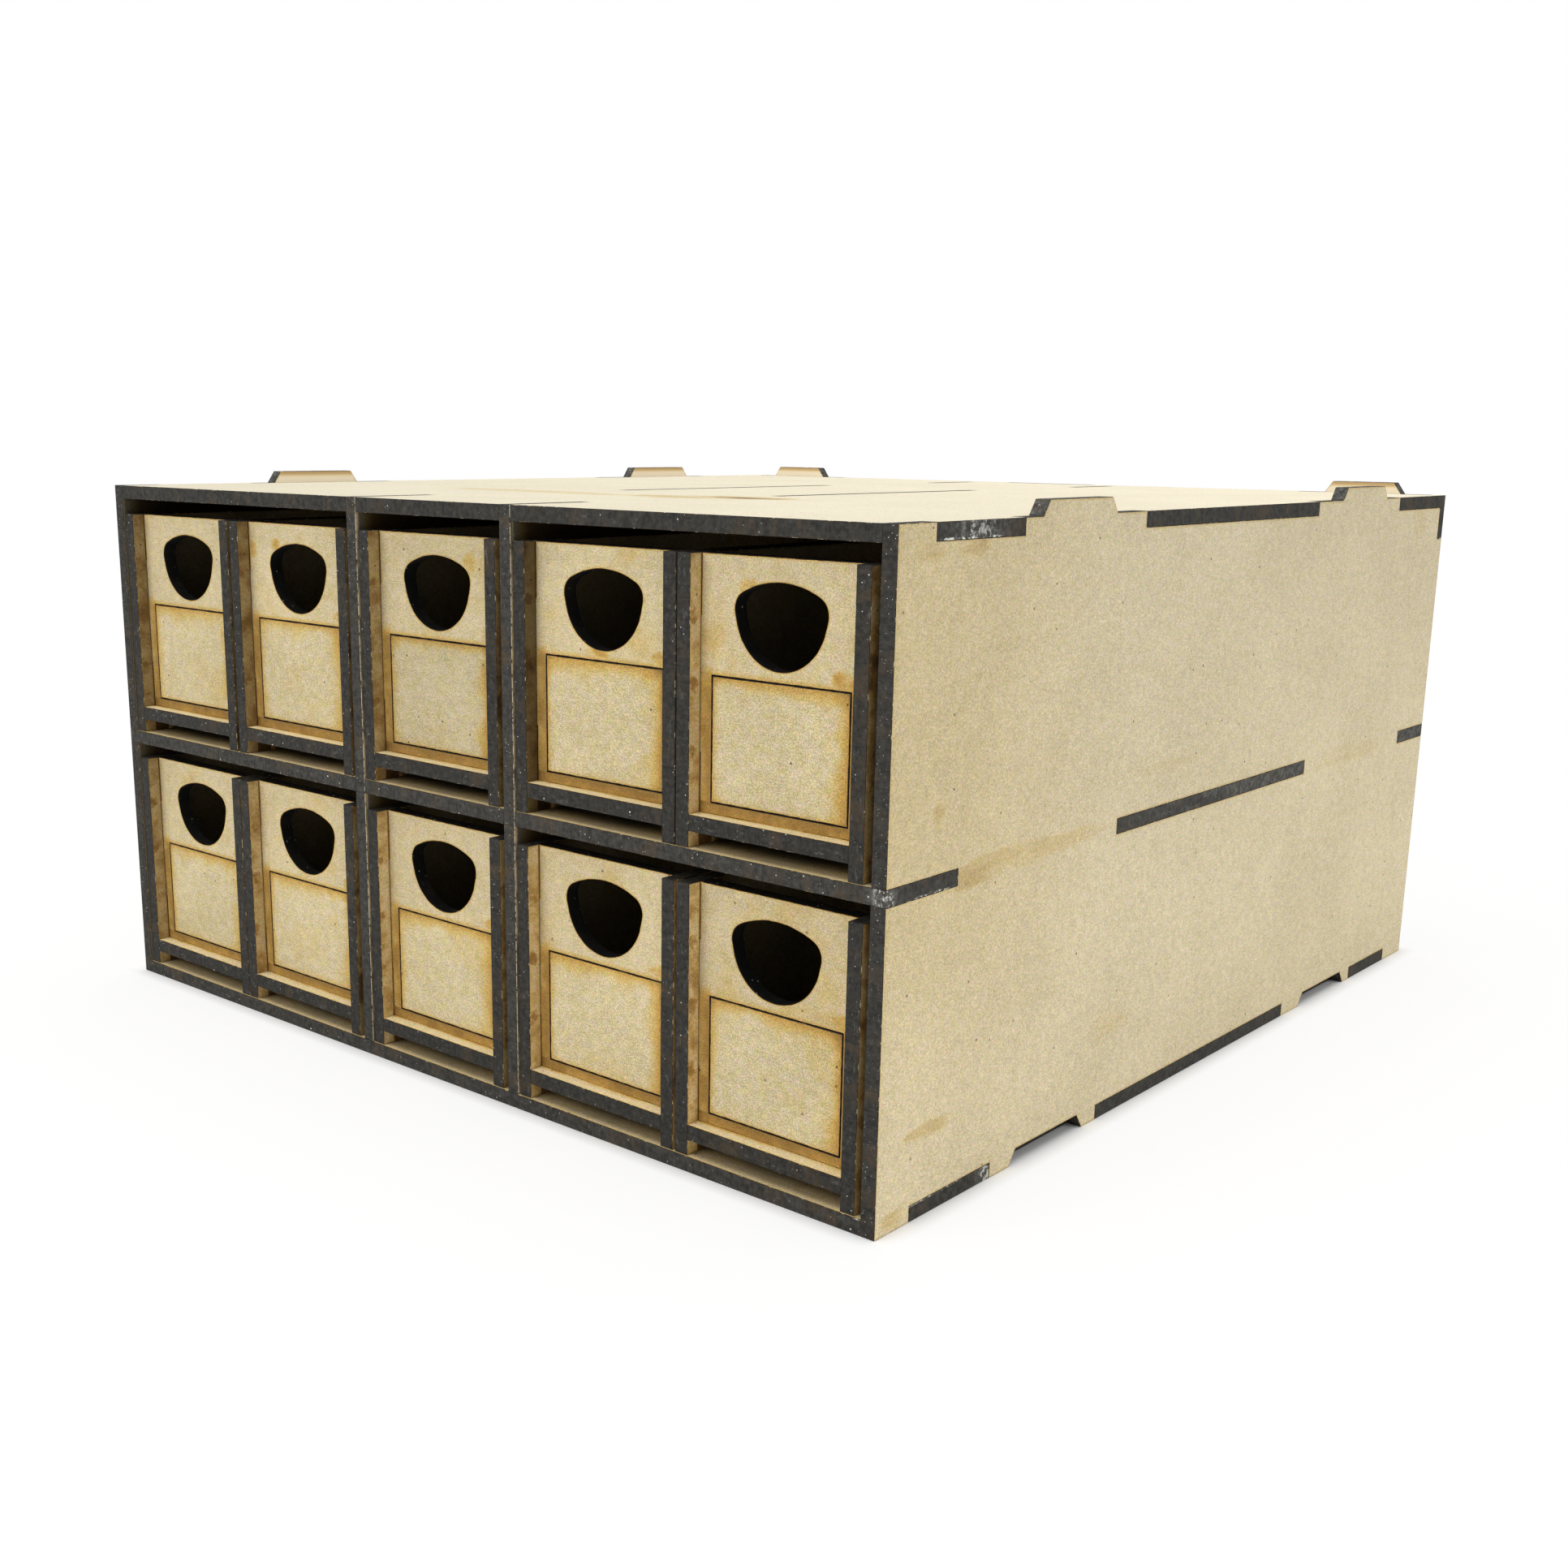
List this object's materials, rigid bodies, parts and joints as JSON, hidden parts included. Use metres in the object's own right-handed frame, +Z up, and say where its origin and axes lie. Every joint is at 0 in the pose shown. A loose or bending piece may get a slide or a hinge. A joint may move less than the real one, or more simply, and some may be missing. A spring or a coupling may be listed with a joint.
{
  "type": "drawer storage box",
  "caption": "Open-fronted case of tab-jointed sheet with rows of narrow drawers, each with a finger hole and a label plate, and tabs along its top edges that seat in a box stacked above.",
  "frame": {"origin": "middle of the footprint, on the surface that the box stands on", "axes": "+Z up; the open front with the drawers faces -Y; +X to the right seen from the front"},
  "size_m": [0.223, 0.234, 0.1208],
  "materials": {
    "side_panels": "matt, laser-cut fibreboard",
    "top_panel": "matt, laser-cut fibreboard",
    "shelf": "matt, laser-cut fibreboard",
    "bottom_panel": "matt, laser-cut fibreboard",
    "back_panel": "matt, laser-cut fibreboard",
    "dividers": "matt, laser-cut fibreboard",
    "drawer_fronts": "matt, laser-cut fibreboard",
    "drawer_labels": "matt, laser-cut fibreboard",
    "drawer_walls": "matt, laser-cut fibreboard",
    "drawer_rears": "matt, laser-cut fibreboard",
    "drawer_floors": "matt, laser-cut fibreboard"
  },
  "bodies": {
    "case": {"side_left": "side_panels", "side_right": "side_panels", "top_panel": "top_panel", "middle_shelf": "shelf", "bottom_panel": "bottom_panel", "back_panel": "back_panel", "divider_upper_left": "dividers", "divider_upper_right": "dividers", "divider_lower_left": "dividers", "divider_lower_right": "dividers"},
    "drawer_upper_1": {"drawer_upper_1_front": "drawer_fronts", "drawer_upper_1_label": "drawer_labels", "drawer_upper_1_walls": "drawer_walls", "drawer_upper_1_rear": "drawer_rears", "drawer_upper_1_floor": "drawer_floors"},
    "drawer_upper_2": {"drawer_upper_2_front": "drawer_fronts", "drawer_upper_2_label": "drawer_labels", "drawer_upper_2_walls": "drawer_walls", "drawer_upper_2_rear": "drawer_rears", "drawer_upper_2_floor": "drawer_floors"},
    "drawer_upper_3": {"drawer_upper_3_front": "drawer_fronts", "drawer_upper_3_label": "drawer_labels", "drawer_upper_3_walls": "drawer_walls", "drawer_upper_3_rear": "drawer_rears", "drawer_upper_3_floor": "drawer_floors"},
    "drawer_upper_4": {"drawer_upper_4_front": "drawer_fronts", "drawer_upper_4_label": "drawer_labels", "drawer_upper_4_walls": "drawer_walls", "drawer_upper_4_rear": "drawer_rears", "drawer_upper_4_floor": "drawer_floors"},
    "drawer_upper_5": {"drawer_upper_5_front": "drawer_fronts", "drawer_upper_5_label": "drawer_labels", "drawer_upper_5_walls": "drawer_walls", "drawer_upper_5_rear": "drawer_rears", "drawer_upper_5_floor": "drawer_floors"},
    "drawer_lower_1": {"drawer_lower_1_front": "drawer_fronts", "drawer_lower_1_label": "drawer_labels", "drawer_lower_1_walls": "drawer_walls", "drawer_lower_1_rear": "drawer_rears", "drawer_lower_1_floor": "drawer_floors"},
    "drawer_lower_2": {"drawer_lower_2_front": "drawer_fronts", "drawer_lower_2_label": "drawer_labels", "drawer_lower_2_walls": "drawer_walls", "drawer_lower_2_rear": "drawer_rears", "drawer_lower_2_floor": "drawer_floors"},
    "drawer_lower_3": {"drawer_lower_3_front": "drawer_fronts", "drawer_lower_3_label": "drawer_labels", "drawer_lower_3_walls": "drawer_walls", "drawer_lower_3_rear": "drawer_rears", "drawer_lower_3_floor": "drawer_floors"},
    "drawer_lower_4": {"drawer_lower_4_front": "drawer_fronts", "drawer_lower_4_label": "drawer_labels", "drawer_lower_4_walls": "drawer_walls", "drawer_lower_4_rear": "drawer_rears", "drawer_lower_4_floor": "drawer_floors"},
    "drawer_lower_5": {"drawer_lower_5_front": "drawer_fronts", "drawer_lower_5_label": "drawer_labels", "drawer_lower_5_walls": "drawer_walls", "drawer_lower_5_rear": "drawer_rears", "drawer_lower_5_floor": "drawer_floors"}
  },
  "joints": [
    {"name": "drawer_upper_1_slide", "type": "slide", "parent": "case", "child": "drawer_upper_1", "axis": [0, -1, 0], "range_m": [0, 0.18]},
    {"name": "drawer_upper_2_slide", "type": "slide", "parent": "case", "child": "drawer_upper_2", "axis": [0, -1, 0], "range_m": [0, 0.18]},
    {"name": "drawer_upper_3_slide", "type": "slide", "parent": "case", "child": "drawer_upper_3", "axis": [0, -1, 0], "range_m": [0, 0.18]},
    {"name": "drawer_upper_4_slide", "type": "slide", "parent": "case", "child": "drawer_upper_4", "axis": [0, -1, 0], "range_m": [0, 0.18]},
    {"name": "drawer_upper_5_slide", "type": "slide", "parent": "case", "child": "drawer_upper_5", "axis": [0, -1, 0], "range_m": [0, 0.18]},
    {"name": "drawer_lower_1_slide", "type": "slide", "parent": "case", "child": "drawer_lower_1", "axis": [0, -1, 0], "range_m": [0, 0.18]},
    {"name": "drawer_lower_2_slide", "type": "slide", "parent": "case", "child": "drawer_lower_2", "axis": [0, -1, 0], "range_m": [0, 0.18]},
    {"name": "drawer_lower_3_slide", "type": "slide", "parent": "case", "child": "drawer_lower_3", "axis": [0, -1, 0], "range_m": [0, 0.18]},
    {"name": "drawer_lower_4_slide", "type": "slide", "parent": "case", "child": "drawer_lower_4", "axis": [0, -1, 0], "range_m": [0, 0.18]},
    {"name": "drawer_lower_5_slide", "type": "slide", "parent": "case", "child": "drawer_lower_5", "axis": [0, -1, 0], "range_m": [0, 0.18]}
  ]
}
